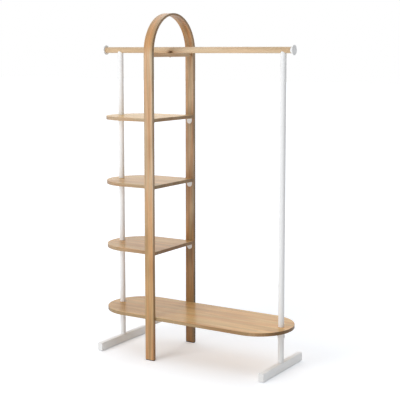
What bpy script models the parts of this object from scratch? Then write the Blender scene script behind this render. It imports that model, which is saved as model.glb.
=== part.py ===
"""Coat stand: a bent oak arch with shelves, and two white steel posts that carry an oak rail.

Metres, +Z up. The origin is on the floor, midway between the rail's two ends and midway between the
arch's two legs. +X runs along the rail to the right, +Y to the rear.
"""
import math

import bmesh
import bpy
from mathutils import Matrix, Vector

# Fits
GAP = 0.0003                    # clearance between two pieces that touch
LEG_SKIN = 0.005                # wood left outside a hole in a leg's inner face
SHELF_SKIN = 0.006              # wood left above a hole in a shelf's underside
RAIL_SKIN = 0.012               # wood left above a hole in the rail's underside

# Bent arch, a flat strip
ARCH_DEPTH = 0.395              # outer face of the front leg to outer face of the rear leg
STRIP_WIDTH = 0.051
STRIP_THICKNESS = 0.017         # of the straight legs
CROWN_THICKNESS = 0.011         # at the top of the bend, where the strip is thinnest
STRIP_EDGE_EASE = 0.0016
ARCH_SPRING = 0.0012            # the curve starts this far above the upper crossbar
ARCH_SEGMENTS = 40              # straight steps in the half round
PAD_THICKNESS = 0.0035          # felt pads under the legs
PAD_INSET = 0.001

# Plan
POST_SPACING = 0.9566
ARCH_FROM_LEFT_POST = 0.3115

# Shelves
BASE_SHELF_TOP = 0.224
SHELF_PITCH = 0.3346
SHELF_THICKNESS = 0.0175
SHELF_OVERHANG = 0.052          # post axis to the end of the shelf
SHELF_EDGE_EASE = 0.0016
SHELF_SEGMENTS = 36             # straight steps in each half-round end
SIDE_SHELVES = ("lower", "middle", "upper")

# Rail
RAIL_BAY = 0.3375               # top of the upper shelf to the rail's axis
RAIL_DIAMETER = 0.031
RAIL_LEFT_OVERHANG = 0.0915     # post axis to the end of the wood
RAIL_RIGHT_OVERHANG = 0.041
RAIL_SADDLE_DEPTH = 0.0015      # the rail lies this deep in the upper crossbar
RAIL_STEPS = 32
DISC_DIAMETER = 0.050
DISC_THICKNESS = 0.003
DISC_RIM_ROUND = 0.001
NECK_DIAMETER = 0.028           # sleeve between the rail's right end and its disc
NECK_LENGTH = 0.0135
DISC_STUD_LENGTH = 0.030

# Crossbars between the legs: the upper one is wood, the lower one a steel tube
CROSSBAR_WIDTH = 0.020
UPPER_CROSSBAR_HEIGHT = 0.0205
UPPER_CROSSBAR_EDGE_EASE = 0.0015
LOWER_CROSSBAR_HEIGHT = 0.0275
LOWER_CROSSBAR_WALL = 0.0015
LOWER_CROSSBAR_CORNER = 0.0035  # outside corner radius of the tube
DOWEL_DIAMETER = 0.008          # dowels of the upper one, pins of the lower one
DOWEL_IN_BAR = 0.016

# Posts, steel tubes with a threaded insert welded into each end
POST_DIAMETER = 0.029
POST_WALL = 0.0015
INSERT_LENGTH = 0.016
STUD_DIAMETER = 0.008
SOCKET_DIAMETER = 0.0365        # sleeves under the base shelf
SOCKET_LENGTH = 0.0365
SOCKET_PLATE = 0.003

# Cross feet, rectangular tubes
FOOT_LENGTH = 0.406
FOOT_WIDTH = 0.029
FOOT_HEIGHT = 0.0425
FOOT_WALL = 0.002
FOOT_CORNER = 0.005             # outside corner radius of the tube
CAP_PLATE = 0.003               # end caps of the feet
CAP_SPIGOT = 0.014
GLIDE_DIAMETER = 0.020
GLIDE_THICKNESS = 0.0025
GLIDE_STEM_DIAMETER = 0.005
GLIDE_STEM_LENGTH = 0.007
GLIDE_INSET = 0.028             # from the end of the foot
BOLT_HEAD_DIAMETER = 0.013
BOLT_HEAD = 0.006
BOLT_ACCESS_CLEARANCE = 0.0015  # round the bolt head, in the hole under it

# Shelf brackets, bent steel tabs
BRACKET_WIDTH = 0.030
BRACKET_THICKNESS = 0.003
BRACKET_DROP = 0.0285           # down the leg
BRACKET_REACH = 0.030           # under the shelf
BRACKET_HOLE_INSET = 0.013      # from the tab's round end to its screw or peg
PEG_DIAMETER = 0.006            # peg that locates the shelf on the bracket

# Wood screws
SCREW_DIAMETER = 0.004
SCREW_POINT = 0.004
SCREW_HEAD_DIAMETER = 0.008
SCREW_HEAD = 0.0025
SCREW_HEAD_RIM = 0.001          # straight side of the head, under its crown
BASE_SCREW_SPACING = 0.180      # between the two screws up into the base shelf

ROUND_STEPS = 24                # sides of a post, socket or disc
TAB_STEPS = 10                  # straight steps in a bracket tab's round end
SMALL_STEPS = 12                # sides of a screw, stud, dowel or glide

# Heights and places worked out from the sizes above
SHELF_TOPS = {name: BASE_SHELF_TOP + (i + 1) * SHELF_PITCH for i, name in enumerate(SIDE_SHELVES)}
RAIL_AXIS = SHELF_TOPS[SIDE_SHELVES[-1]] + RAIL_BAY
RAIL_RADIUS = RAIL_DIAMETER / 2
RAIL_UNDERSIDE = RAIL_AXIS - RAIL_RADIUS
SADDLE_LOW = RAIL_UNDERSIDE - GAP
UPPER_CROSSBAR_TOP = RAIL_UNDERSIDE + RAIL_SADDLE_DEPTH
BASE_SHELF_UNDERSIDE = BASE_SHELF_TOP - SHELF_THICKNESS
LOWER_CROSSBAR_TOP = BASE_SHELF_UNDERSIDE - GAP
SPRING_HEIGHT = UPPER_CROSSBAR_TOP + ARCH_SPRING
ARCH_RADIUS = ARCH_DEPTH / 2
LEG_INNER = ARCH_RADIUS - STRIP_THICKNESS
SHELF_HALF_DEPTH = LEG_INNER - GAP
LEFT_REACH = RAIL_LEFT_OVERHANG + GAP + DISC_THICKNESS
RIGHT_REACH = RAIL_RIGHT_OVERHANG + GAP + NECK_LENGTH + DISC_THICKNESS
SPAN = LEFT_REACH + POST_SPACING + RIGHT_REACH
LEFT_POST_X = LEFT_REACH - SPAN / 2
RIGHT_POST_X = LEFT_POST_X + POST_SPACING
ARCH_X = LEFT_POST_X + ARCH_FROM_LEFT_POST
POST_RADIUS = POST_DIAMETER / 2
POST_BORE = POST_RADIUS - POST_WALL
STUD_RADIUS = STUD_DIAMETER / 2
STUD_HOLE = STUD_RADIUS + GAP
SCREW_HOLE = SCREW_DIAMETER / 2 + GAP
DOWEL_HOLE = DOWEL_DIAMETER / 2 + GAP
PEG_HOLE = PEG_DIAMETER / 2 + GAP
LEG_HOLE_DEPTH = STRIP_THICKNESS - LEG_SKIN
SHELF_HOLE_DEPTH = SHELF_THICKNESS - SHELF_SKIN
RAIL_HOLE_DEPTH = RAIL_DIAMETER - RAIL_SKIN
FOOT_BOTTOM = GLIDE_THICKNESS + GAP
FOOT_MIDDLE = FOOT_BOTTOM + FOOT_HEIGHT / 2
FOOT_TOP = FOOT_BOTTOM + FOOT_HEIGHT
POST_BOTTOM = FOOT_TOP + GAP
SOCKET_TOP = BASE_SHELF_UNDERSIDE - GAP
LOWER_POST_TOP = SOCKET_TOP - SOCKET_PLATE - GAP
ENDS = {"front": -1, "rear": 1}  # which way along Y

# Ways to stand up a flat outline that is drawn in X and Y
FACING_Y = Matrix.Rotation(math.pi / 2, 4, "X")
FACING_X = Matrix.Rotation(math.pi / 2, 4, "Z") @ FACING_Y
QUARTER_TURN = math.pi / 2
HALF_TURN = math.pi


def new_collection(name):
    collection = bpy.data.collections.new(name)
    bpy.context.scene.collection.children.link(collection)
    return collection


def new_material(name, color, roughness, metallic=0.0):
    material = bpy.data.materials.new(name)
    material.use_nodes = True
    shader = material.node_tree.nodes["Principled BSDF"]
    shader.inputs["Base Color"].default_value = (*color, 1.0)
    shader.inputs["Roughness"].default_value = roughness
    shader.inputs["Metallic"].default_value = metallic
    return material


for old in list(bpy.data.objects):
    bpy.data.objects.remove(old, do_unlink=True)
PARTS = new_collection("coat_stand")
CUTTERS = new_collection("coat_stand_cutters")
ORIGIN = bpy.data.objects.new("coat_stand_origin", None)
PARTS.objects.link(ORIGIN)
OAK = new_material("oak", (0.60, 0.40, 0.22), 0.5)
BEECH = new_material("beech", (0.66, 0.48, 0.30), 0.6)
WHITE_STEEL = new_material("white_steel", (0.85, 0.85, 0.84), 0.4)
WHITE_PLASTIC = new_material("white_plastic", (0.80, 0.80, 0.79), 0.5)
DARK_FELT = new_material("dark_felt", (0.06, 0.05, 0.04), 0.9)
ZINC = new_material("zinc_steel", (0.55, 0.55, 0.56), 0.35, 1.0)
BROWN_STEEL = new_material("brown_steel", (0.27, 0.17, 0.09), 0.55, 1.0)


def place(name, mesh, material, location=(0, 0, 0), rotation=(0, 0, 0)):
    """One piece of the stand; pieces that are alike share their mesh."""
    piece = bpy.data.objects.new(name, mesh)
    PARTS.objects.link(piece)
    piece.parent = ORIGIN
    piece.location = location
    piece.rotation_euler = rotation
    if not mesh.materials:
        mesh.materials.append(material)
        mesh.shade_smooth()
        mesh.set_sharp_from_angle(angle=math.radians(35))
    return piece


def helper(name, data):
    """A hidden object that only shapes others."""
    item = bpy.data.objects.new(name, data)
    CUTTERS.objects.link(item)
    item.hide_render = True
    item.display_type = "WIRE"
    return item


def mesh_from(name, bm):
    bmesh.ops.recalc_face_normals(bm, faces=bm.faces)
    mesh = bpy.data.meshes.new(name)
    bm.to_mesh(mesh)
    bm.free()
    return mesh


def finished(item, orientation=Matrix.Identity(4)):
    """The item's mesh as its modifiers leave it, welded and turned; the item is removed."""
    bpy.context.view_layer.update()
    graph = bpy.context.evaluated_depsgraph_get()
    mesh = bpy.data.meshes.new_from_object(item.evaluated_get(graph), depsgraph=graph)
    bpy.data.objects.remove(item, do_unlink=True)
    bm = bmesh.new()
    bm.from_mesh(mesh)
    bmesh.ops.remove_doubles(bm, verts=bm.verts, dist=0.00001)
    bmesh.ops.transform(bm, matrix=orientation, verts=bm.verts)
    return mesh_from(mesh.name, bm)


def ease_edges(item, width):
    bevel = item.modifiers.new("ease_edges", "BEVEL")
    bevel.width = width
    bevel.segments = 1
    bevel.limit_method = "ANGLE"
    bevel.angle_limit = math.radians(50)


def combine(item, other, operation):
    boolean = item.modifiers.new(operation.lower(), "BOOLEAN")
    boolean.operation = operation
    boolean.solver = "EXACT"
    boolean.object = other


def drill(item, holes):
    """Round holes in the item's own frame, each a start point, an end point and a radius."""
    bm = bmesh.new()
    for start, end, radius in holes:
        add_rod(bm, start, end, radius, SMALL_STEPS)
    tool = helper(item.name + "_holes", mesh_from(item.name + "_holes", bm))
    tool.parent = item
    combine(item, tool, "DIFFERENCE")


def arc(center, radius, start, end, steps, rise=None):
    """Points of an arc between two angles in degrees, ends included; with a rise, of an ellipse."""
    points = []
    for i in range(steps + 1):
        angle = math.radians(start + (end - start) * i / steps)
        points.append((center[0] + radius * math.cos(angle), center[1] + (rise or radius) * math.sin(angle)))
    return points


def rounded_rectangle(width, height, corner, steps=3):
    x = width / 2 - corner
    y = height / 2 - corner
    points = []
    for sx, sy, start in ((1, 1, 0), (-1, 1, 90), (-1, -1, 180), (1, -1, 270)):
        points += arc((sx * x, sy * y), corner, start, start + 90, steps)
    return points


def bore_of(width, height, corner, wall):
    """Width, height and corner radius of a rectangular tube's bore."""
    return width - 2 * wall, height - 2 * wall, corner - wall


def spigot_outline(bore):
    """The outline of a plug that slides into the bore."""
    return rounded_rectangle(bore[0] - 2 * GAP, bore[1] - 2 * GAP, bore[2])


def plate(name, outlines, thickness, orientation=Matrix.Identity(4)):
    """A flat solid about its middle plane; the first outline is its edge, and any others are holes."""
    curve = bpy.data.curves.new(name, "CURVE")
    curve.dimensions = "2D"
    curve.fill_mode = "BOTH"
    curve.extrude = thickness / 2
    for outline in outlines:
        spline = curve.splines.new("POLY")
        spline.points.add(len(outline) - 1)
        for point, (x, y) in zip(spline.points, outline):
            point.co = (x, y, 0, 1)
        spline.use_cyclic_u = True
    return finished(helper(name, curve), orientation)


def turned(name, profile, steps, closed=False):
    """A solid of revolution about Z; the profile of (radius, height) runs down its outer side."""
    bm = bmesh.new()
    points = [bm.verts.new((radius, 0, height)) for radius, height in profile]
    for first, second in zip(points, points[1:]):
        bm.edges.new((first, second))
    if closed:
        bm.edges.new((points[-1], points[0]))
    mesh = bpy.data.meshes.new(name)
    bm.to_mesh(mesh)
    bm.free()
    item = helper(name, mesh)
    screw = item.modifiers.new("turn", "SCREW")
    screw.steps = steps
    screw.render_steps = steps
    screw.use_merge_vertices = True
    screw.merge_threshold = 0.00001
    return finished(item)


def add_rod(bm, start, end, radius, steps):
    axis = Vector(end) - Vector(start)
    turn = axis.to_track_quat("Z", "Y").to_matrix().to_4x4()
    middle = Matrix.Translation((Vector(start) + Vector(end)) / 2)
    bmesh.ops.create_cone(bm, cap_ends=True, segments=steps, radius1=radius, radius2=radius,
                          depth=axis.length, matrix=middle @ turn)


def rod(name, start, end, radius, steps=SMALL_STEPS):
    """A round bar between two points."""
    bm = bmesh.new()
    add_rod(bm, start, end, radius, steps)
    return mesh_from(name, bm)


def box(name, size):
    """A block about its middle."""
    bm = bmesh.new()
    bmesh.ops.create_cube(bm, size=1.0, matrix=Matrix.Diagonal((*size, 1.0)))
    return mesh_from(name, bm)


def screw(name, length):
    """A wood screw that points up, with the underside of its round head at height 0."""
    shank = SCREW_DIAMETER / 2
    head = SCREW_HEAD_DIAMETER / 2
    profile = [(0, length), (shank, length - SCREW_POINT), (shank, 0), (head, 0), (head, -SCREW_HEAD_RIM),
               (shank, -SCREW_HEAD), (0, -SCREW_HEAD)]
    return turned(name, profile, SMALL_STEPS)


def bracket_seat(which, end):
    """The corner where a side shelf's underside meets a leg's inner face."""
    return Vector((ARCH_X, end * SHELF_HALF_DEPTH, SHELF_TOPS[which] - SHELF_THICKNESS - GAP))


LEG_SCREW_DROP = BRACKET_DROP - BRACKET_HOLE_INSET      # below the bracket's seat
PEG_REACH = BRACKET_REACH - BRACKET_HOLE_INSET          # from the bracket's seat, towards the arch's middle
UPPER_CROSSBAR_MIDDLE = UPPER_CROSSBAR_TOP - UPPER_CROSSBAR_HEIGHT / 2
LOWER_CROSSBAR_MIDDLE = LOWER_CROSSBAR_TOP - LOWER_CROSSBAR_HEIGHT / 2


def build_arch():
    bottom = PAD_THICKNESS + GAP
    outline = [(-ARCH_RADIUS, bottom)] + arc((0, SPRING_HEIGHT), ARCH_RADIUS, 180, 0, ARCH_SEGMENTS)
    outline += [(ARCH_RADIUS, bottom), (LEG_INNER, bottom)]
    crown = ARCH_RADIUS - CROWN_THICKNESS
    outline += arc((0, SPRING_HEIGHT), LEG_INNER, 0, 180, ARCH_SEGMENTS, crown) + [(-LEG_INNER, bottom)]
    strip = plate("arch_frame", [outline], STRIP_WIDTH, FACING_X)
    arch = place("arch_frame", strip, OAK, (ARCH_X, 0, 0))
    ease_edges(arch, STRIP_EDGE_EASE)
    holes = []
    for end in ENDS.values():
        inside = end * (LEG_INNER - STRIP_THICKNESS)
        bottom_of_hole = end * (LEG_INNER + LEG_HOLE_DEPTH)
        for z in (UPPER_CROSSBAR_MIDDLE, LOWER_CROSSBAR_MIDDLE):
            holes.append(((0, inside, z), (0, bottom_of_hole, z), DOWEL_HOLE))
        for which in SIDE_SHELVES:
            z = bracket_seat(which, end).z - LEG_SCREW_DROP
            holes.append(((0, inside, z), (0, bottom_of_hole, z), SCREW_HOLE))
    drill(arch, holes)
    size = (STRIP_WIDTH - 2 * PAD_INSET, STRIP_THICKNESS - 2 * PAD_INSET, PAD_THICKNESS)
    pad = box("leg_pad", size)
    for which, end in ENDS.items():
        y = end * (ARCH_RADIUS - STRIP_THICKNESS / 2)
        place(which + "_leg_pad", pad, DARK_FELT, (ARCH_X, y, PAD_THICKNESS / 2))


def rail_tool(name):
    """A bar along the rail, a gap thicker than it, for the saddles that the rail lies in."""
    start = (LEFT_POST_X - RAIL_LEFT_OVERHANG, 0, RAIL_AXIS)
    end = (RIGHT_POST_X + RAIL_RIGHT_OVERHANG, 0, RAIL_AXIS)
    return helper(name, rod(name, start, end, RAIL_RADIUS + GAP, RAIL_STEPS))


def build_upper_crossbar():
    """The bar under the rail, with a dowel into each leg and a screw up into the rail."""
    size = (CROSSBAR_WIDTH, 2 * SHELF_HALF_DEPTH, UPPER_CROSSBAR_HEIGHT)
    bar = place("upper_crossbar", box("upper_crossbar", size), OAK, (ARCH_X, 0, UPPER_CROSSBAR_MIDDLE))
    ease_edges(bar, UPPER_CROSSBAR_EDGE_EASE)
    holes = [((0, 0, -UPPER_CROSSBAR_HEIGHT), (0, 0, UPPER_CROSSBAR_HEIGHT), SCREW_HOLE)]
    inner = SHELF_HALF_DEPTH - DOWEL_IN_BAR
    dowel = rod("upper_crossbar_dowel", (0, 0, 0), (0, DOWEL_IN_BAR + LEG_HOLE_DEPTH, 0), DOWEL_DIAMETER / 2)
    for which, end in ENDS.items():
        holes.append(((0, end * ARCH_DEPTH, 0), (0, end * (inner - GAP), 0), DOWEL_HOLE))
        spot = (ARCH_X, end * inner, UPPER_CROSSBAR_MIDDLE)
        place("upper_crossbar_dowel_" + which, dowel, BEECH, spot, (0, 0, 0 if end > 0 else HALF_TURN))
    drill(bar, holes)
    combine(bar, rail_tool("upper_crossbar_saddle"), "DIFFERENCE")
    seat = UPPER_CROSSBAR_TOP - UPPER_CROSSBAR_HEIGHT - GAP
    length = RAIL_UNDERSIDE + RAIL_HOLE_DEPTH - GAP - seat
    place("rail_screw", screw("rail_screw", length), BROWN_STEEL, (ARCH_X, 0, seat))


def build_lower_crossbar():
    """The tube under the base shelf; a plug in each end has a pin that goes into the leg."""
    outside = rounded_rectangle(CROSSBAR_WIDTH, LOWER_CROSSBAR_HEIGHT, LOWER_CROSSBAR_CORNER)
    bore = bore_of(CROSSBAR_WIDTH, LOWER_CROSSBAR_HEIGHT, LOWER_CROSSBAR_CORNER, LOWER_CROSSBAR_WALL)
    tube = plate("lower_crossbar", [outside, rounded_rectangle(*bore)], 2 * SHELF_HALF_DEPTH, FACING_Y)
    bar = place("lower_crossbar", tube, WHITE_STEEL, (ARCH_X, 0, LOWER_CROSSBAR_MIDDLE))
    places = {which: end * BASE_SCREW_SPACING / 2 for which, end in ENDS.items()}
    drill(bar, [((0, y, -LOWER_CROSSBAR_HEIGHT), (0, y, LOWER_CROSSBAR_HEIGHT), SCREW_HOLE)
                for y in places.values()])

    block = plate("lower_crossbar_plug", [spigot_outline(bore)], DOWEL_IN_BAR, FACING_Y)
    block.transform(Matrix.Translation((0, -DOWEL_IN_BAR / 2, 0)))
    plug = helper("lower_crossbar_plug", block)
    pin = rod("lower_crossbar_pin", (0, -DOWEL_IN_BAR / 2, 0), (0, LEG_HOLE_DEPTH, 0), DOWEL_DIAMETER / 2)
    combine(plug, helper("lower_crossbar_pin", pin), "UNION")
    plug = finished(plug)
    for which, end in ENDS.items():
        spot = (ARCH_X, end * SHELF_HALF_DEPTH, LOWER_CROSSBAR_MIDDLE)
        place("lower_crossbar_plug_" + which, plug, ZINC, spot, (0, 0, 0 if end > 0 else HALF_TURN))

    seat = LOWER_CROSSBAR_TOP - LOWER_CROSSBAR_HEIGHT - GAP
    base_screw = screw("base_shelf_screw", BASE_SHELF_UNDERSIDE + SHELF_HOLE_DEPTH - GAP - seat)
    for which, y in places.items():
        place("base_shelf_screw_" + which, base_screw, ZINC, (ARCH_X, y, seat))


def build_rail():
    left_end = -RAIL_LEFT_OVERHANG
    right_end = POST_SPACING + RAIL_RIGHT_OVERHANG
    wood = rod("hanging_rail", (left_end, 0, 0), (right_end, 0, 0), RAIL_RADIUS, RAIL_STEPS)
    rail = place("hanging_rail", wood, OAK, (LEFT_POST_X, 0, RAIL_AXIS))
    depth = DISC_STUD_LENGTH + GAP
    holes = [((left_end - depth, 0, 0), (left_end + depth, 0, 0), STUD_HOLE),
             ((right_end + depth, 0, 0), (right_end - depth, 0, 0), STUD_HOLE)]
    top = RAIL_HOLE_DEPTH - RAIL_RADIUS
    for x, radius in ((0, STUD_HOLE), (POST_SPACING, STUD_HOLE), (ARCH_FROM_LEFT_POST, SCREW_HOLE)):
        holes.append(((x, 0, -RAIL_DIAMETER), (x, 0, top), radius))
    drill(rail, holes)


def disc_profile(neck):
    """A disc with a rounded rim on a neck of this length, and the stud that screws into the rail's end."""
    radius = DISC_DIAMETER / 2 - DISC_RIM_ROUND
    profile = [(0, DISC_THICKNESS)]
    profile += arc((radius, DISC_THICKNESS - DISC_RIM_ROUND), DISC_RIM_ROUND, 90, 0, 2)
    profile += arc((radius, DISC_RIM_ROUND), DISC_RIM_ROUND, 0, -90, 2)
    if neck > 0:
        profile += [(NECK_DIAMETER / 2, 0), (NECK_DIAMETER / 2, -neck)]
    stud_end = -neck - DISC_STUD_LENGTH
    return profile + [(STUD_RADIUS, -neck), (STUD_RADIUS, stud_end), (0, stud_end)]


def build_rail_discs():
    left = turned("rail_end_disc_left", disc_profile(0), ROUND_STEPS)
    x = LEFT_POST_X - RAIL_LEFT_OVERHANG - GAP
    place("rail_end_disc_left", left, WHITE_STEEL, (x, 0, RAIL_AXIS), (0, -QUARTER_TURN, 0))
    right = turned("rail_end_disc_right", disc_profile(NECK_LENGTH), ROUND_STEPS)
    x = RIGHT_POST_X + RAIL_RIGHT_OVERHANG + GAP + NECK_LENGTH
    place("rail_end_disc_right", right, WHITE_STEEL, (x, 0, RAIL_AXIS), (0, QUARTER_TURN, 0))


def round_end(right):
    """The half-round end that every shelf has at the left, or the base shelf's at the right."""
    half = SHELF_HALF_DEPTH
    if right:
        return arc((POST_SPACING + SHELF_OVERHANG - half, 0), half, -90, 90, SHELF_SEGMENTS)
    return arc((half - SHELF_OVERHANG, 0), half, 90, 270, SHELF_SEGMENTS)


def stud_hole(x):
    return arc((x, 0), STUD_HOLE, 0, 360, SMALL_STEPS)[:-1]


def build_base_shelf():
    outlines = [round_end(True) + round_end(False), stud_hole(0), stud_hole(POST_SPACING)]
    shelf = place("base_shelf", plate("base_shelf", outlines, SHELF_THICKNESS), OAK,
                  (LEFT_POST_X, 0, BASE_SHELF_TOP - SHELF_THICKNESS / 2))
    ease_edges(shelf, SHELF_EDGE_EASE)
    top = SHELF_HOLE_DEPTH - SHELF_THICKNESS / 2
    places = [(ARCH_FROM_LEFT_POST, end * BASE_SCREW_SPACING / 2) for end in ENDS.values()]
    drill(shelf, [((x, y, -SHELF_THICKNESS), (x, y, top), SCREW_HOLE) for x, y in places])


def build_side_shelves():
    right = ARCH_FROM_LEFT_POST + STRIP_WIDTH / 2
    outline = [(right, -SHELF_HALF_DEPTH), (right, SHELF_HALF_DEPTH)] + round_end(False)
    blank = helper("side_shelf", plate("side_shelf", [outline, stud_hole(0)], SHELF_THICKNESS))
    ease_edges(blank, SHELF_EDGE_EASE)
    top = SHELF_HOLE_DEPTH - SHELF_THICKNESS / 2
    places = [(ARCH_FROM_LEFT_POST, end * (SHELF_HALF_DEPTH - PEG_REACH)) for end in ENDS.values()]
    drill(blank, [((x, y, -SHELF_THICKNESS), (x, y, top), PEG_HOLE) for x, y in places])
    shelf = finished(blank)
    for which, height in SHELF_TOPS.items():
        place("side_shelf_" + which, shelf, OAK, (LEFT_POST_X, 0, height - SHELF_THICKNESS / 2))


def tab_outline(length):
    """A tab of the bracket's width with one round end, from y = 0 to y = -length."""
    radius = BRACKET_WIDTH / 2
    return [(radius, 0), (-radius, 0)] + arc((0, radius - length), radius, 180, 360, TAB_STEPS)


def build_brackets():
    """Tabs against the rear leg and under the shelf, bent from one plate, with a peg up into the shelf."""
    half = BRACKET_THICKNESS / 2
    leg_tab = plate("shelf_bracket", [tab_outline(BRACKET_DROP)], BRACKET_THICKNESS, FACING_Y)
    leg_tab.transform(Matrix.Translation((0, -half, 0)))
    bent = helper("shelf_bracket", leg_tab)
    flat_tab = plate("bracket_flat_tab", [tab_outline(BRACKET_REACH)], BRACKET_THICKNESS)
    flat_tab.transform(Matrix.Translation((0, 0, -half)))
    combine(bent, helper("bracket_flat_tab", flat_tab), "UNION")
    peg = rod("bracket_peg", (0, -PEG_REACH, -half), (0, -PEG_REACH, SHELF_HOLE_DEPTH), PEG_DIAMETER / 2)
    combine(bent, helper("bracket_peg", peg), "UNION")
    through = 2 * BRACKET_THICKNESS
    drill(bent, [((0, -through, -LEG_SCREW_DROP), (0, through, -LEG_SCREW_DROP), SCREW_HOLE)])
    bracket = finished(bent)
    head_seat = BRACKET_THICKNESS + GAP
    leg_screw = screw("bracket_screw", head_seat + LEG_HOLE_DEPTH)
    for which in SIDE_SHELVES:
        for leg, end in ENDS.items():
            seat = bracket_seat(which, end)
            turn = 0 if end > 0 else HALF_TURN
            place("%s_shelf_bracket_%s" % (which, leg), bracket, WHITE_STEEL, seat, (0, 0, turn))
            place("%s_bracket_screw_%s" % (which, leg), leg_screw, WHITE_STEEL,
                  (seat.x, seat.y - end * head_seat, seat.z - LEG_SCREW_DROP), (-end * QUARTER_TURN, 0, 0))


def post_profile(length, upper_insert):
    """A tube with a threaded insert at its bottom, and one whose top is at the given height."""
    return [(POST_RADIUS, length), (POST_RADIUS, 0), (STUD_HOLE, 0), (STUD_HOLE, INSERT_LENGTH),
            (POST_BORE, INSERT_LENGTH), (POST_BORE, upper_insert - INSERT_LENGTH),
            (STUD_HOLE, upper_insert - INSERT_LENGTH), (STUD_HOLE, upper_insert)]


def build_tube(name, x, bottom, top):
    length = top - bottom
    place(name, turned(name, post_profile(length, length), ROUND_STEPS, True), WHITE_STEEL, (x, 0, bottom))


def build_top_tube(name, x, bottom):
    """The stretch that carries the rail: its top is a saddle, and its insert lies just under the rail."""
    length = RAIL_AXIS - bottom
    insert_top = SADDLE_LOW - bottom
    profile = post_profile(length, insert_top) + [(POST_BORE, insert_top), (POST_BORE, length)]
    tube = place(name, turned(name, profile, ROUND_STEPS, True), WHITE_STEEL, (x, 0, bottom))
    combine(tube, rail_tool(name + "_saddle"), "DIFFERENCE")


def build_stud(name, x, bottom, top):
    place(name, rod(name, (0, 0, 0), (0, 0, top - bottom), STUD_RADIUS), ZINC, (x, 0, bottom))


def build_post(side, x):
    build_tube(side + "_post_lower", x, POST_BOTTOM, LOWER_POST_TOP)
    bottom = BASE_SHELF_TOP + GAP
    build_stud(side + "_post_stud_base", x, LOWER_POST_TOP - INSERT_LENGTH, bottom + INSERT_LENGTH)
    if side == "left":
        for which in SIDE_SHELVES:
            top = SHELF_TOPS[which] - SHELF_THICKNESS - GAP
            build_tube("left_post_to_%s_shelf" % which, x, bottom, top)
            bottom = SHELF_TOPS[which] + GAP
            build_stud("left_post_stud_" + which, x, top - INSERT_LENGTH, bottom + INSERT_LENGTH)
    build_top_tube(side + "_post_to_rail", x, bottom)
    build_stud(side + "_rail_bolt", x, SADDLE_LOW - INSERT_LENGTH, RAIL_UNDERSIDE + RAIL_HOLE_DEPTH - GAP)

    outer = SOCKET_DIAMETER / 2
    inner = POST_RADIUS + GAP
    profile = [(STUD_HOLE, 0), (outer, 0), (outer, -SOCKET_LENGTH), (inner, -SOCKET_LENGTH),
               (inner, -SOCKET_PLATE), (STUD_HOLE, -SOCKET_PLATE)]
    name = side + "_post_socket"
    place(name, turned(name, profile, ROUND_STEPS, True), WHITE_STEEL, (x, 0, SOCKET_TOP))


def build_feet():
    outside = rounded_rectangle(FOOT_WIDTH, FOOT_HEIGHT, FOOT_CORNER)
    bore = bore_of(FOOT_WIDTH, FOOT_HEIGHT, FOOT_CORNER, FOOT_WALL)
    tube_length = FOOT_LENGTH - 2 * (CAP_PLATE + GAP)
    blank = helper("foot", plate("foot", [outside, rounded_rectangle(*bore)], tube_length, FACING_Y))
    glide_y = FOOT_LENGTH / 2 - GLIDE_INSET
    access = BOLT_HEAD_DIAMETER / 2 + BOLT_ACCESS_CLEARANCE
    stem_hole = GLIDE_STEM_DIAMETER / 2 + GAP
    drill(blank, [((0, 0, 0), (0, 0, FOOT_HEIGHT), STUD_HOLE), ((0, 0, 0), (0, 0, -FOOT_HEIGHT), access)]
          + [((0, end * glide_y, 0), (0, end * glide_y, -FOOT_HEIGHT), stem_hole) for end in ENDS.values()])
    foot = finished(blank)

    spigot = plate("foot_cap_spigot", [spigot_outline(bore)], CAP_PLATE + CAP_SPIGOT, FACING_Y)
    spigot.transform(Matrix.Translation((0, CAP_PLATE / 2 + (CAP_PLATE + CAP_SPIGOT) / 2, 0)))
    cover = plate("foot_cap", [outside], CAP_PLATE, FACING_Y)
    cover.transform(Matrix.Translation((0, CAP_PLATE / 2, 0)))
    cap = helper("foot_cap", cover)
    combine(cap, helper("foot_cap_spigot", spigot), "UNION")
    cap = finished(cap)

    disc = GLIDE_DIAMETER / 2
    stem = GLIDE_STEM_DIAMETER / 2
    stem_top = GLIDE_THICKNESS + GLIDE_STEM_LENGTH
    profile = [(0, stem_top), (stem, stem_top), (stem, GLIDE_THICKNESS), (disc, GLIDE_THICKNESS),
               (disc, 0), (0, 0)]
    glide = turned("foot_glide", profile, SMALL_STEPS)

    head = BOLT_HEAD_DIAMETER / 2
    head_top = FOOT_TOP - FOOT_WALL - GAP
    shank = POST_BOTTOM + INSERT_LENGTH - head_top
    profile = [(0, shank), (STUD_RADIUS, shank), (STUD_RADIUS, 0), (head, 0), (head, -BOLT_HEAD),
               (0, -BOLT_HEAD)]
    bolt = turned("foot_bolt", profile, SMALL_STEPS)

    for side, x in (("left", LEFT_POST_X), ("right", RIGHT_POST_X)):
        place(side + "_foot", foot, WHITE_STEEL, (x, 0, FOOT_MIDDLE))
        place(side + "_foot_bolt", bolt, ZINC, (x, 0, head_top))
        for which, end in ENDS.items():
            turn = 0 if end < 0 else HALF_TURN
            place("%s_foot_cap_%s" % (side, which), cap, WHITE_PLASTIC,
                  (x, end * FOOT_LENGTH / 2, FOOT_MIDDLE), (0, 0, turn))
            place("%s_foot_glide_%s" % (side, which), glide, WHITE_PLASTIC, (x, end * glide_y, 0))


build_arch()
build_upper_crossbar()
build_lower_crossbar()
build_rail()
build_rail_discs()
build_base_shelf()
build_side_shelves()
build_brackets()
build_post("left", LEFT_POST_X)
build_post("right", RIGHT_POST_X)
build_feet()
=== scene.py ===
import math

import bpy
from mathutils import Matrix, Vector

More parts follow.
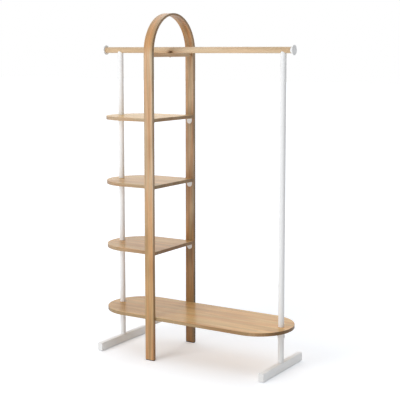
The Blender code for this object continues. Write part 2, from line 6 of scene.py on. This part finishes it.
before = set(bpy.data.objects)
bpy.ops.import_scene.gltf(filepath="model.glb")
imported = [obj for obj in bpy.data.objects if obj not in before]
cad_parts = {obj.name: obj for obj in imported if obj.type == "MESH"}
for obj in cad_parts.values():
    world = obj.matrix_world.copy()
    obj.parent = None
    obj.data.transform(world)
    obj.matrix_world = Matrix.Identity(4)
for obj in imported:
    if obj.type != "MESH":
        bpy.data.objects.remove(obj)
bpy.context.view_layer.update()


def colour(red, green, blue):
    return (red, green, blue, 1.0)


BLACK = colour(0.0, 0.0, 0.0)
GREY = colour(0.5, 0.5, 0.5)
WHITE = colour(1.0, 1.0, 1.0)

# Sizes that the materials follow, in metres, in the part's own frame.
ARCH_SPRING_Z = 1.5525
ARCH_INNER_RADIUS = 0.1805
ARCH_MIDDLE_RADIUS = 0.189
ARCH_X = -0.1483
STRIP_HALF_WIDTH = 0.0255
LAYER = 0.00155
STAVE_WIDTH = 0.052
STAVE_LENGTH = 0.62
STAVE_JOINT = 0.0004
LENGTH_DRIFT_X = (-0.5, 0.5)

# Oak: how often each mark repeats per metre along the grain, across it and through it.
WAVER_RATE = 2.6
STREAK_ALONG = 2.6
BROAD_RATES = (3.4, 14.0, 9.0)
PORE_RATES = (38.0, 1150.0, 1150.0)
HUE_ALONG = 2.8
HUE_SHARE = 0.6
VEIN_RATES = (7.0, 75.0, 1.0)
# The growth lines are bands, so the way across the grain comes first.
RING_RATES = (150.0, 2.2, 60.0)

# Oak: what a piece's seed is multiplied by for each mark, so that they don't repeat together.
STREAK_SEED = 3.1
BROAD_SEED = 7.7
HUE_SEED = 5.3
STAVE_SEED = 0.37

# Oak: how strong each mark is and what it does to the tone.
WAVER_WIDTH = 0.022
STREAK_SHARE = 0.6
BROAD_SHARE = 0.4
TONE_RANGE = (0.36, 0.64)
RING_STRENGTH = 0.28
RING_TINT = colour(0.72, 0.63, 0.54)
PORE_RANGE = (0.60, 0.74)
PORE_STRENGTH = 0.45
PORE_TINT = colour(0.55, 0.45, 0.36)
PORE_DEPTH = 0.5
WARM_TINT = colour(1.05, 0.96, 0.88)
COOL_TINT = colour(0.95, 1.05, 1.08)
STAVE_STEP = 0.37
STAVE_TINT = colour(0.93, 0.91, 0.885)
STAVE_JOINT_STRENGTH = 0.35
STAVE_JOINT_COLOUR = colour(0.30, 0.18, 0.09)
END_GRAIN_FACING = (0.35, 0.85)
BOARD_EDGE_FACING = (0.75, 0.45)

# The rail's painted shade spot, where it rests on the upper crossbar, with the grain bent round it: its
# place, how fast it ends along each axis, and how far out each of its effects goes.
SHADE_SPOT = Vector((-0.1355, -0.0143, 1.5535))
SHADE_SPOT_SHAPE = Vector((72.0, 120.0, 120.0))
SHADE_SPOT_PULL_REACH = (3.0, 0.6)
SHADE_SPOT_PULL = 0.012
SHADE_SPOT_HALO_REACH = (2.4, 0.7)
SHADE_SPOT_HALO_STRENGTH = 0.55
SHADE_SPOT_HALO_TINT = colour(0.66, 0.55, 0.44)
SHADE_SPOT_CORE_REACH = (1.05, 0.45)
SHADE_SPOT_CORE = colour(0.110, 0.060, 0.025)

# The bent strip: its glued layers, a painted sheen on its margins, and veins.
GLUE_FROM = 0.88
GLUE_DARKER = 0.35
LAYER_DARKER = 0.30
LAYER_PALE_TINT = colour(0.76, 0.81, 0.87)
LAYER_DARK_TINT = colour(0.44, 0.41, 0.38)
STRIP_EDGE_FACING = (0.55, 0.75)
STRIP_REAR_Y = (-0.05, 0.05)
SHEEN_FROM = 0.60
SHEEN_OUTER = 0.45
SHEEN_INNER_EXTRA = 0.45
SHEEN_TINT = colour(0.96, 1.12, 1.36)
VEIN_RANGE = (0.42, 0.58)
VEIN_TINT = colour(0.84, 0.83, 0.84)

# The bent strip: heights between which a tone comes in, from nothing to its full strength.
BEND_Z = (ARCH_SPRING_Z - 0.03, ARCH_SPRING_Z + 0.05)
CROWN_Z = (ARCH_SPRING_Z + 0.09, ARCH_SPRING_Z + 0.17)
UPPER_LEG_Z = (0.70, 1.15)
LOWER_LEG_Z = (1.00, 0.40)
LEG_END_Z = (0.24, 0.10)
INNER_LEG_Z = (1.45, 0.20)
LEG_MIDDLE_Z = 0.92
LEG_MIDDLE_REACH = (0.50, 0.20)

# Boards: tones of the base shelf, and those that each side shelf's own tint multiplies.
BASE_PALE = colour(0.720, 0.455, 0.206)
BASE_DEEP = colour(0.530, 0.305, 0.120)
SHELF_PALE = (0.670, 0.436, 0.212)
SHELF_DEEP = (0.480, 0.272, 0.111)

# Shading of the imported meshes.
JOIN_DISTANCE = 1e-5
SMOOTH_BELOW = math.radians(35)

# The camera at the photograph's angle.
CAMERA_PLACE = Vector((2.7066, -4.2614, 1.5628))
CAMERA_TURN = math.radians(31.943)
CAMERA_TILT = math.radians(6.437)
CAMERA_LENS = 90.52
CAMERA_SENSOR = 36.0
CAMERA_SHIFT = (-0.0083, -0.09)

# Studio light: a tall soft box in front, to the left, a wide one overhead, and a weak one behind.
SKY = 0.37
SKY_SEEN = 1.0
KEY_PLACE = Vector((-0.8, -3.0, 1.65))
KEY_AIM = Vector((0.0, 0.0, 1.05))
KEY_SIZE = (1.6, 2.4)
KEY_POWER = 56.0
TOP_STRENGTH = 1.15
TOP_FROM = Vector((-0.15, 0.22, 1.0))
TOP_ANGLE = math.radians(100)
BACK_STRENGTH = 0.52
BACK_FROM = Vector((-0.55, 0.80, 0.25))
BACK_ANGLE = math.radians(90)

# The floor: its colour where it only throws light back and where it is seen, and the glow that is seen.
FLOOR_HALF = 40.0
FLOOR_BOUNCE = colour(0.94, 0.95, 0.96)
FLOOR_SEEN = colour(0.90, 0.92, 0.95)
FLOOR_GLOW_TINT = colour(0.93, 0.96, 1.0)
FLOOR_GLOW_NEAR = 0.262
FLOOR_GLOW_FAR = 0.44
FLOOR_GLOW_REACH = (0.7, 3.2)

# The mix node's factor, its two colours and its result, by place, since their names repeat there.
MIX_INPUTS = (0, 6, 7)
MIX_RESULT = 2


class Graph:
    """One material and short ways to wire its nodes."""

    def __init__(self, name):
        self.material = bpy.data.materials.new(name)
        self.material.use_nodes = True
        self.tree = self.material.node_tree
        self.tree.nodes.clear()
        self.shader = self.node("ShaderNodeBsdfPrincipled")
        end = self.node("ShaderNodeOutputMaterial")
        self.tree.links.new(self.shader.outputs["BSDF"], end.inputs["Surface"])
        self.place = self.node("ShaderNodeTexCoord").outputs["Object"]

    def node(self, kind, inputs=None, **settings):
        made = self.tree.nodes.new(kind)
        for key, value in settings.items():
            setattr(made, key, value)
        for key, value in (inputs or {}).items():
            self.feed(made.inputs[key], value)
        return made

    def feed(self, socket, value):
        if isinstance(value, bpy.types.NodeSocket):
            self.tree.links.new(value, socket)
        else:
            socket.default_value = value

    def surface(self, inputs):
        """Gives the shader its inputs, each a plain value or a node's output."""
        for key, value in inputs.items():
            self.feed(self.shader.inputs[key], value)

    def math(self, operation, first, second=0.0, third=0.0):
        inputs = {0: first, 1: second, 2: third}
        return self.node("ShaderNodeMath", inputs, operation=operation).outputs[0]

    def level(self, value, least, spread):
        """A number that rises with value, from least on."""
        return self.math("MULTIPLY_ADD", value, spread, least)

    def split(self, vector):
        made = self.node("ShaderNodeSeparateXYZ", {"Vector": vector})
        return made.outputs["X"], made.outputs["Y"], made.outputs["Z"]

    def join(self, x, y, z):
        return self.node("ShaderNodeCombineXYZ", {"X": x, "Y": y, "Z": z}).outputs[0]

    def stretch(self, axes, rates, start=0.0):
        """A place with each axis at its own rate, and the last one moved by start."""
        starts = (0.0, 0.0, start)
        return self.join(*(self.level(axis, least, rate) for axis, rate, least in zip(axes, rates, starts)))

    def vector(self, operation, first, second):
        inputs = {0: first, 1: second}
        return self.node("ShaderNodeVectorMath", inputs, operation=operation).outputs["Vector"]

    def noise(self, vector, scale=1.0, detail=2.0, roughness=0.5):
        inputs = {"Vector": vector, "Scale": scale, "Detail": detail, "Roughness": roughness}
        return self.node("ShaderNodeTexNoise", inputs).outputs["Fac"]

    def span(self, value, low, high, start=0.0, end=1.0):
        inputs = {"Value": value, "From Min": low, "From Max": high, "To Min": start, "To Max": end}
        return self.node("ShaderNodeMapRange", inputs, interpolation_type="SMOOTHSTEP").outputs["Result"]

    def mix(self, factor, first, second, blend="MIX"):
        inputs = dict(zip(MIX_INPUTS, (factor, first, second)))
        return self.node("ShaderNodeMix", inputs, data_type="RGBA", blend_type=blend).outputs[MIX_RESULT]

    def tint(self, base, amount, tint):
        return self.mix(amount, base, tint, "MULTIPLY")

    def bump(self, height, strength, distance):
        inputs = {"Height": height, "Strength": strength, "Distance": distance}
        made = self.node("ShaderNodeBump", inputs)
        self.feed(self.shader.inputs["Normal"], made.outputs["Normal"])

    def facing(self, axis):
        normal = self.node("ShaderNodeNewGeometry").outputs["True Normal"]
        return self.math("ABSOLUTE", self.split(normal)["XYZ".index(axis)])


def grain_along_x(g):
    return g.split(g.place)


def grain_along_y(g):
    x, y, z = g.split(g.place)
    return y, x, z


def grain_round_arch(g):
    """Length along the bent strip, then its width, then its thickness."""
    x, y, z = g.split(g.place)
    rise = g.math("MAXIMUM", g.math("SUBTRACT", z, ARCH_SPRING_Z), 0.0)
    side = g.math("ABSOLUTE", y)
    turn = g.math("ARCTAN2", rise, side)
    length = g.math("MULTIPLY_ADD", turn, ARCH_MIDDLE_RADIUS, g.math("MINIMUM", z, ARCH_SPRING_Z))
    apex = ARCH_SPRING_Z + ARCH_MIDDLE_RADIUS * math.pi / 2
    to_apex = g.math("SUBTRACT", apex, length)
    along = g.math("MULTIPLY_ADD", g.math("SIGN", y), to_apex, apex)
    radius = g.math("SQRT", g.math("ADD", g.math("MULTIPLY", y, y), g.math("MULTIPLY", rise, rise)))
    return along, x, radius


def oak(name, grain, seed, pale, deep, fine=46.0, drift=0.7,
        staves=False, strip=False, edges=None, shade_spot=None, length_tone_and_shade=None):
    """Lacquered oak: broad tone, growth lines, pores, and the joints of its staves or layers."""
    g = Graph(name)
    along, across, depth = grain(g)
    waver = g.noise(g.join(along, across, seed), WAVER_RATE)
    wavy = g.math("MULTIPLY_ADD", g.math("SUBTRACT", waver, 0.5), WAVER_WIDTH, across)
    # The grain bends round the painted shade spot under the rail.
    if shade_spot:
        reach = g.vector("MULTIPLY", g.vector("SUBTRACT", g.place, shade_spot), SHADE_SPOT_SHAPE)
        reach = g.node("ShaderNodeVectorMath", {0: reach}, operation="LENGTH").outputs["Value"]
        wavy = g.math("MULTIPLY_ADD", g.span(reach, *SHADE_SPOT_PULL_REACH), SHADE_SPOT_PULL, wavy)

    grained = (along, wavy, depth)
    streak_place = g.stretch(grained, (STREAK_ALONG, fine, fine), STREAK_SEED * seed)
    streak = g.noise(streak_place, detail=4.0, roughness=0.6)
    broad = g.noise(g.stretch(grained, BROAD_RATES, BROAD_SEED * seed))
    pore = g.span(g.noise(g.stretch(grained, PORE_RATES), detail=1.0), *PORE_RANGE)
    hue_place = g.stretch(grained, (HUE_ALONG, HUE_SHARE * fine, HUE_SHARE * fine), HUE_SEED * seed)
    hue = g.span(g.noise(hue_place), *TONE_RANGE)
    ring = g.node("ShaderNodeTexWave", {
        "Vector": g.stretch((wavy, along, depth), RING_RATES, seed),
        "Scale": 0.28, "Distortion": 5.5, "Detail": 2.0, "Detail Scale": 0.6,
    }, wave_type="BANDS", bands_direction="X", wave_profile="SAW").outputs["Fac"]

    tone = g.math("ADD", g.math("MULTIPLY", streak, STREAK_SHARE), g.math("MULTIPLY", broad, BROAD_SHARE))
    base = g.mix(g.span(tone, *TONE_RANGE), deep, pale)
    base = g.tint(base, g.math("MULTIPLY", ring, RING_STRENGTH), RING_TINT)
    base = g.tint(base, g.math("MULTIPLY", pore, PORE_STRENGTH), PORE_TINT)
    base = g.tint(base, drift, g.mix(hue, WARM_TINT, COOL_TINT))
    groove = g.math("MULTIPLY", pore, PORE_DEPTH)

    # Painted shade where the rail rests on the upper crossbar: a darker halo round a dark core.
    if shade_spot:
        shade_halo = g.math("MULTIPLY", g.span(reach, *SHADE_SPOT_HALO_REACH), SHADE_SPOT_HALO_STRENGTH)
        base = g.tint(base, shade_halo, SHADE_SPOT_HALO_TINT)
        base = g.mix(g.span(reach, *SHADE_SPOT_CORE_REACH), base, SHADE_SPOT_CORE)
    if length_tone_and_shade:
        base = g.tint(base, 1.0, g.mix(g.span(along, *LENGTH_DRIFT_X), *length_tone_and_shade))
    if staves:
        brick = g.node("ShaderNodeTexBrick", {
            "Vector": g.join(g.math("ADD", along, seed), g.math("ADD", across, STAVE_SEED * seed), 0.0),
            "Color1": BLACK, "Color2": WHITE, "Mortar": GREY,
            "Scale": 1.0, "Mortar Size": STAVE_JOINT, "Mortar Smooth": 0.3,
            "Brick Width": STAVE_LENGTH, "Row Height": STAVE_WIDTH,
        }, offset=STAVE_STEP)
        joint = brick.outputs["Fac"]
        base = g.tint(base, 1.0, g.mix(brick.outputs["Color"], STAVE_TINT, WHITE))
        base = g.mix(g.math("MULTIPLY", joint, STAVE_JOINT_STRENGTH), base, STAVE_JOINT_COLOUR)
        groove = g.math("ADD", groove, joint)
    if strip:
        base = strip_marks(g, base, along, across, depth)
    if edges:
        edge = g.mix(g.span(g.facing("X"), *END_GRAIN_FACING), *edges)
        base = g.tint(base, g.span(g.facing("Z"), *BOARD_EDGE_FACING), edge)

    g.surface({
        "Base Color": base,
        "Roughness": g.level(streak, least=0.42, spread=0.16),
        "Specular IOR Level": 0.14,
        "Coat Weight": 0.30,
        "Coat Roughness": 0.2,
    })
    g.bump(g.math("SUBTRACT", 1.0, groove), strength=0.30, distance=0.00035)
    return g.material


def strip_marks(g, base, along, across, depth):
    """Glued layers on the bent strip's sides, a painted sheen on its margins, painted shade on its inner
    face and the rear leg's edges, and tones that change along its length, with painted light and shade at
    the feet."""
    layer = g.math("DIVIDE", g.math("SUBTRACT", depth, ARCH_INNER_RADIUS), LAYER)
    shade = g.node("ShaderNodeTexWhiteNoise", {"W": g.math("FLOOR", layer)},
                   noise_dimensions="1D").outputs["Value"]
    glue = g.math("GREATER_THAN", g.math("FRACT", layer), GLUE_FROM)
    dark = g.math("MULTIPLY_ADD", glue, GLUE_DARKER, g.math("MULTIPLY", shade, LAYER_DARKER))

    # Painted shade: the inner face of both legs, with the edges of the rear one, is darker than the outer
    # face.
    _, y, height = g.split(g.place)
    edge = g.span(g.facing("X"), *STRIP_EDGE_FACING)
    inside = g.math("LESS_THAN", depth, ARCH_MIDDLE_RADIUS)
    rear = g.span(y, *STRIP_REAR_Y)
    inner = g.math("MULTIPLY_ADD", edge, g.math("SUBTRACT", rear, inside), inside)
    outer = g.math("SUBTRACT", 1.0, inner)

    # Painted sheen: the strip's margins are paler and greyer, more on the inner face, and not on the inner
    # face's left margin.
    from_centre = g.math("ABSOLUTE", g.math("SUBTRACT", across, ARCH_X))
    margin = g.span(from_centre, SHEEN_FROM * STRIP_HALF_WIDTH, STRIP_HALF_WIDTH)
    no_sheen = g.math("MULTIPLY", inner, g.math("LESS_THAN", across, ARCH_X))
    margin = g.math("MULTIPLY", margin, g.math("SUBTRACT", 1.0, no_sheen))
    margin_sheen = g.math("MULTIPLY", margin, g.level(inner, SHEEN_OUTER, SHEEN_INNER_EXTRA))
    face = g.tint(base, margin_sheen, SHEEN_TINT)
    side = g.tint(base, 1.0, g.mix(dark, LAYER_PALE_TINT, LAYER_DARK_TINT))
    base = g.mix(edge, face, side)

    vein = g.span(g.noise(g.stretch((along, across, depth), VEIN_RATES)), *VEIN_RANGE)
    bend = g.span(height, *BEND_Z)
    crown = g.span(height, *CROWN_Z)
    straight = g.math("MAXIMUM", g.math("SUBTRACT", g.span(height, *UPPER_LEG_Z), bend), 0.0)
    leg_end = g.span(height, *LEG_END_Z)
    from_middle = g.math("ABSOLUTE", g.math("SUBTRACT", height, LEG_MIDDLE_Z))
    for amount, tint in (
        (bend, g.mix(crown, colour(0.93, 0.81, 0.64), colour(1.03, 0.98, 0.92))),
        (g.math("MULTIPLY", outer, straight), colour(1.03, 1.09, 1.16)),
        # Darker and more orange towards the feet: partly the wood's tone, partly painted shade.
        (g.span(height, *LOWER_LEG_Z), colour(0.89, 0.80, 0.62)),
        # Painted light on the outer face at the feet.
        (g.math("MULTIPLY", outer, leg_end), colour(1.13, 1.13, 1.20)),
        # Painted shade on the inner face at the feet, under the base shelf.
        (g.math("MULTIPLY", inner, leg_end), colour(0.88, 0.88, 0.92)),
        # Painted shade on the inner face, much stronger on the rear leg's edges.
        (g.math("MULTIPLY", inner, g.span(height, *INNER_LEG_Z)),
         g.mix(edge, colour(0.84, 0.82, 0.79), colour(0.54, 0.55, 0.49))),
        # Evens out the painted shade around the middle of the legs.
        (g.math("MULTIPLY", inner, g.span(from_middle, *LEG_MIDDLE_REACH)),
         g.mix(edge, colour(1.05, 1.12, 1.22), colour(0.94, 0.95, 0.88))),
        (g.math("MULTIPLY", inner, vein), VEIN_TINT),
    ):
        base = g.tint(base, amount, tint)
    return base


def white_paint(name, deep, pale):
    """Powder coat: a fine pebbled skin, slightly uneven in tone."""
    g = Graph(name)
    skin = g.noise(g.place, scale=1400.0)
    cloud = g.noise(g.place, scale=9.0, detail=3.0)
    g.surface({
        "Base Color": g.mix(cloud, deep, pale),
        "Roughness": g.level(cloud, least=0.42, spread=0.10),
        "Specular IOR Level": 0.15,
    })
    g.bump(skin, strength=0.10, distance=0.0002)
    return g.material


def white_plastic():
    """Moulded caps and glides: fine spark texture."""
    g = Graph("white_moulded_plastic")
    spark = g.noise(g.place, scale=2600.0, detail=1.0)
    cloud = g.noise(g.place, scale=14.0)
    g.surface({
        "Base Color": g.mix(cloud, colour(0.765, 0.765, 0.76), colour(0.81, 0.81, 0.805)),
        "Roughness": g.level(spark, least=0.44, spread=0.12),
    })
    g.bump(spark, strength=0.18, distance=0.0001)
    return g.material


def felt():
    """Pressed dark felt."""
    g = Graph("dark_felt")
    fibre = g.noise(g.place, scale=1900.0, detail=4.0, roughness=0.7)
    g.surface({
        "Base Color": g.mix(fibre, colour(0.018, 0.017, 0.016), colour(0.075, 0.07, 0.066)),
        "Roughness": g.level(fibre, least=0.86, spread=0.1),
    })
    g.bump(fibre, strength=0.8, distance=0.0006)
    return g.material


def zinc():
    """Zinc-plated steel with turned marks."""
    g = Graph("zinc_plated_steel")
    marks = g.noise(g.stretch(g.split(g.place), rates=(400.0, 400.0, 2600.0)))
    cloud = g.noise(g.place, scale=120.0, detail=3.0)
    g.surface({
        "Base Color": g.mix(cloud, colour(0.60, 0.61, 0.63), colour(0.72, 0.73, 0.74)),
        "Roughness": g.level(marks, least=0.26, spread=0.2),
        "Metallic": 1.0,
    })
    g.bump(marks, strength=0.12, distance=0.0001)
    return g.material


def brown_steel():
    """Browned steel of the screw that goes up through the upper crossbar."""
    g = Graph("browned_steel")
    cloud = g.noise(g.place, scale=300.0, detail=3.0)
    g.surface({
        "Base Color": g.mix(cloud, colour(0.22, 0.135, 0.07), colour(0.32, 0.20, 0.11)),
        "Roughness": g.level(cloud, least=0.45, spread=0.2),
        "Metallic": 0.6,
    })
    return g.material


def smoothing():
    """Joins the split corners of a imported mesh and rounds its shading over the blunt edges."""
    tree = bpy.data.node_groups.new("join_and_smooth", "GeometryNodeTree")
    tree.interface.new_socket("Geometry", in_out="INPUT", socket_type="NodeSocketGeometry")
    tree.interface.new_socket("Geometry", in_out="OUTPUT", socket_type="NodeSocketGeometry")
    start = tree.nodes.new("NodeGroupInput")
    join = tree.nodes.new("GeometryNodeMergeByDistance")
    join.inputs["Distance"].default_value = JOIN_DISTANCE
    plain = tree.nodes.new("GeometryNodeRemoveAttribute")
    plain.inputs["Name"].default_value = "custom_normal"
    faces = tree.nodes.new("GeometryNodeSetShadeSmooth")
    faces.domain = "FACE"
    edges = tree.nodes.new("GeometryNodeSetShadeSmooth")
    edges.domain = "EDGE"
    end = tree.nodes.new("NodeGroupOutput")
    steps = (start, join, plain, faces, edges, end)
    for before, after in zip(steps, steps[1:]):
        tree.links.new(before.outputs[0], after.inputs[0])

    angle = tree.nodes.new("GeometryNodeInputMeshEdgeAngle")
    blunt = tree.nodes.new("FunctionNodeCompare")
    blunt.operation = "LESS_THAN"
    blunt.inputs["B"].default_value = SMOOTH_BELOW
    tree.links.new(angle.outputs["Unsigned Angle"], blunt.inputs["A"])
    tree.links.new(blunt.outputs[0], edges.inputs["Shade Smooth"])
    return tree


def side_shelf_oaks():
    """One oak for each side shelf, with its own tint, long edges and end grain; the paler tints of the
    middle and upper shelves are a painted sheen.
    """
    made = {}
    for name, seed, tint, side, end in (
        ("lower", 2.1, (0.97, 0.97, 0.93), colour(0.66, 0.69, 0.87), colour(0.46, 0.42, 0.43)),
        # Painted sheen: the middle and upper shelves are made paler than their wood.
        ("middle", 5.9, (1.10, 1.17, 1.17), colour(0.75, 0.81, 1.14), colour(0.415, 0.40, 0.42)),
        ("upper", 8.2, (1.33, 1.45, 1.52), colour(0.65, 0.72, 1.01), colour(0.41, 0.375, 0.39)),
    ):
        pale = colour(*(tone * share for tone, share in zip(SHELF_PALE, tint)))
        deep = colour(*(tone * share for tone, share in zip(SHELF_DEEP, tint)))
        made["side_shelf_" + name] = oak("oak_shelf_" + name, grain_along_x, seed, pale, deep,
                                         staves=True, edges=(side, end))
    return made


def dress_nodes():
    """Gives each piece its own material, or else that of its slot, and smooth shading."""
    # Painted light: the feet get a paler copy of the posts' white coat.
    lit_foot_paint = white_paint("white_coat_lit_feet", colour(0.918, 0.928, 0.935), colour(0.940, 0.950, 0.957))
    own = {
        "arch_frame": oak(
            "oak_arch", grain_round_arch, 1.7, colour(0.618, 0.413, 0.254), colour(0.385, 0.228, 0.119),
            fine=85.0, drift=1.0, strip=True),
        # Painted shade: the base shelf darkens towards its left end, under the side shelves.
        "base_shelf": oak(
            "oak_base_shelf", grain_along_x, 4.3, BASE_PALE, BASE_DEEP, staves=True,
            edges=(colour(0.61, 0.64, 0.79), colour(0.30, 0.285, 0.275)),
            length_tone_and_shade=(colour(0.90, 0.90, 0.87), colour(1.03, 1.03, 1.00))),
        "hanging_rail": oak(
            "oak_rail", grain_along_x, 3.3, colour(0.675, 0.500, 0.332), colour(0.545, 0.376, 0.218),
            drift=0.35, shade_spot=SHADE_SPOT, length_tone_and_shade=(colour(0.95, 0.93, 0.90), colour(1.06, 1.10, 1.15))),
        "upper_crossbar": oak(
            "oak_crossbar", grain_along_y, 6.4, colour(0.66, 0.45, 0.27), colour(0.48, 0.29, 0.15)),
        "left_foot": lit_foot_paint,
        "right_foot": lit_foot_paint,
        **side_shelf_oaks(),
    }
    by_slot = {
        "white_steel": white_paint(
            "white_powder_coat", colour(0.822, 0.828, 0.833), colour(0.857, 0.864, 0.869)),
        "white_plastic": white_plastic(),
        "felt": felt(),
        "zinc": zinc(),
        "brown_steel": brown_steel(),
        "beech": oak(
            "beech_dowel", grain_along_y, 9.1, colour(0.66, 0.45, 0.28), colour(0.56, 0.36, 0.20)),
    }
    tree = smoothing()
    for name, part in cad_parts.items():
        slot = part.material_slots[0]
        slot_name = slot.material.name.split(".")[0]
        slot.material = own.get(name) or by_slot[slot_name]
        part.modifiers.new("join_and_smooth", "NODES").node_group = tree


def add_floor():
    """White floor with the stand's shadow on it; where it is seen, a glow lifts it."""
    corners = [(FLOOR_HALF * x, FLOOR_HALF * y, 0.0) for x, y in ((-1, -1), (1, -1), (1, 1), (-1, 1))]
    mesh = bpy.data.meshes.new("floor")
    mesh.from_pydata(corners, [], [(0, 1, 2, 3)])
    floor = bpy.data.objects.new("floor", mesh)
    bpy.context.scene.collection.objects.link(floor)
    g = Graph("floor")
    path = g.node("ShaderNodeLightPath").outputs
    seen = g.math("MAXIMUM", path["Is Camera Ray"], path["Is Glossy Ray"])
    x, y, _ = g.split(g.place)
    away = g.math("SQRT", g.math("ADD", g.math("MULTIPLY", x, x), g.math("MULTIPLY", y, y)))
    glow = g.span(away, *FLOOR_GLOW_REACH, FLOOR_GLOW_NEAR, FLOOR_GLOW_FAR)
    g.surface({
        "Base Color": g.mix(seen, FLOOR_BOUNCE, FLOOR_SEEN),
        "Emission Strength": g.math("MULTIPLY", glow, seen),
        "Emission Color": FLOOR_GLOW_TINT,
        "Roughness": 1.0,
        "Specular IOR Level": 0.0,
    })
    mesh.materials.append(g.material)


def add_lamp(name, kind, direction, place=(0, 0, 0), mirrored=True):
    light = bpy.data.lights.new(name, kind)
    lamp = bpy.data.objects.new(name, light)
    lamp.location = place
    lamp.rotation_euler = direction.to_track_quat("Z", "Y").to_euler()
    lamp.visible_camera = False
    lamp.visible_glossy = mirrored
    bpy.context.scene.collection.objects.link(lamp)
    return light


def add_lights():
    key = add_lamp("key", "AREA", KEY_PLACE - KEY_AIM, KEY_PLACE, mirrored=False)
    key.shape = "RECTANGLE"
    key.size, key.size_y = KEY_SIZE
    key.energy = KEY_POWER
    for name, source, strength, angle in (
        ("top", TOP_FROM, TOP_STRENGTH, TOP_ANGLE),
        ("back", BACK_FROM, BACK_STRENGTH, BACK_ANGLE),
    ):
        light = add_lamp(name, "SUN", source)
        light.energy = strength
        light.angle = angle


def add_world():
    """A plain white sky: full strength where it is seen, weaker where it only lights."""
    world = bpy.data.worlds.new("studio")
    bpy.context.scene.world = world
    world.use_nodes = True
    tree = world.node_tree
    tree.nodes.clear()
    sky = tree.nodes.new("ShaderNodeBackground")
    sky.inputs["Color"].default_value = WHITE
    path = tree.nodes.new("ShaderNodeLightPath")
    seen = tree.nodes.new("ShaderNodeMath")
    seen.operation = "MAXIMUM"
    clear = tree.nodes.new("ShaderNodeMath")
    clear.operation = "MAXIMUM"
    level = tree.nodes.new("ShaderNodeMapRange")
    level.inputs["To Min"].default_value = SKY
    level.inputs["To Max"].default_value = SKY_SEEN
    end = tree.nodes.new("ShaderNodeOutputWorld")
    tree.links.new(path.outputs["Is Camera Ray"], seen.inputs[0])
    tree.links.new(path.outputs["Is Glossy Ray"], seen.inputs[1])
    tree.links.new(seen.outputs[0], clear.inputs[0])
    tree.links.new(path.outputs["Is Transmission Ray"], clear.inputs[1])
    tree.links.new(clear.outputs[0], level.inputs["Value"])
    tree.links.new(level.outputs["Result"], sky.inputs["Strength"])
    tree.links.new(sky.outputs[0], end.inputs["Surface"])


def add_camera():
    data = bpy.data.cameras.new("camera")
    data.sensor_width = CAMERA_SENSOR
    data.lens = CAMERA_LENS
    data.shift_x, data.shift_y = CAMERA_SHIFT
    camera = bpy.data.objects.new("camera", data)
    bpy.context.scene.collection.objects.link(camera)
    right = Vector((math.cos(CAMERA_TURN), math.sin(CAMERA_TURN), 0.0))
    level = Vector((-math.sin(CAMERA_TURN), math.cos(CAMERA_TURN), 0.0))
    forward = level * math.cos(CAMERA_TILT) - Vector((0.0, 0.0, math.sin(CAMERA_TILT)))
    up = right.cross(forward)
    turn = Matrix((right, up, -forward)).transposed().to_4x4()
    camera.matrix_world = Matrix.Translation(CAMERA_PLACE) @ turn
    bpy.context.scene.camera = camera


bpy.context.scene.view_settings.view_transform = "Standard"
dress_nodes()
add_floor()
add_world()
add_lights()
add_camera()
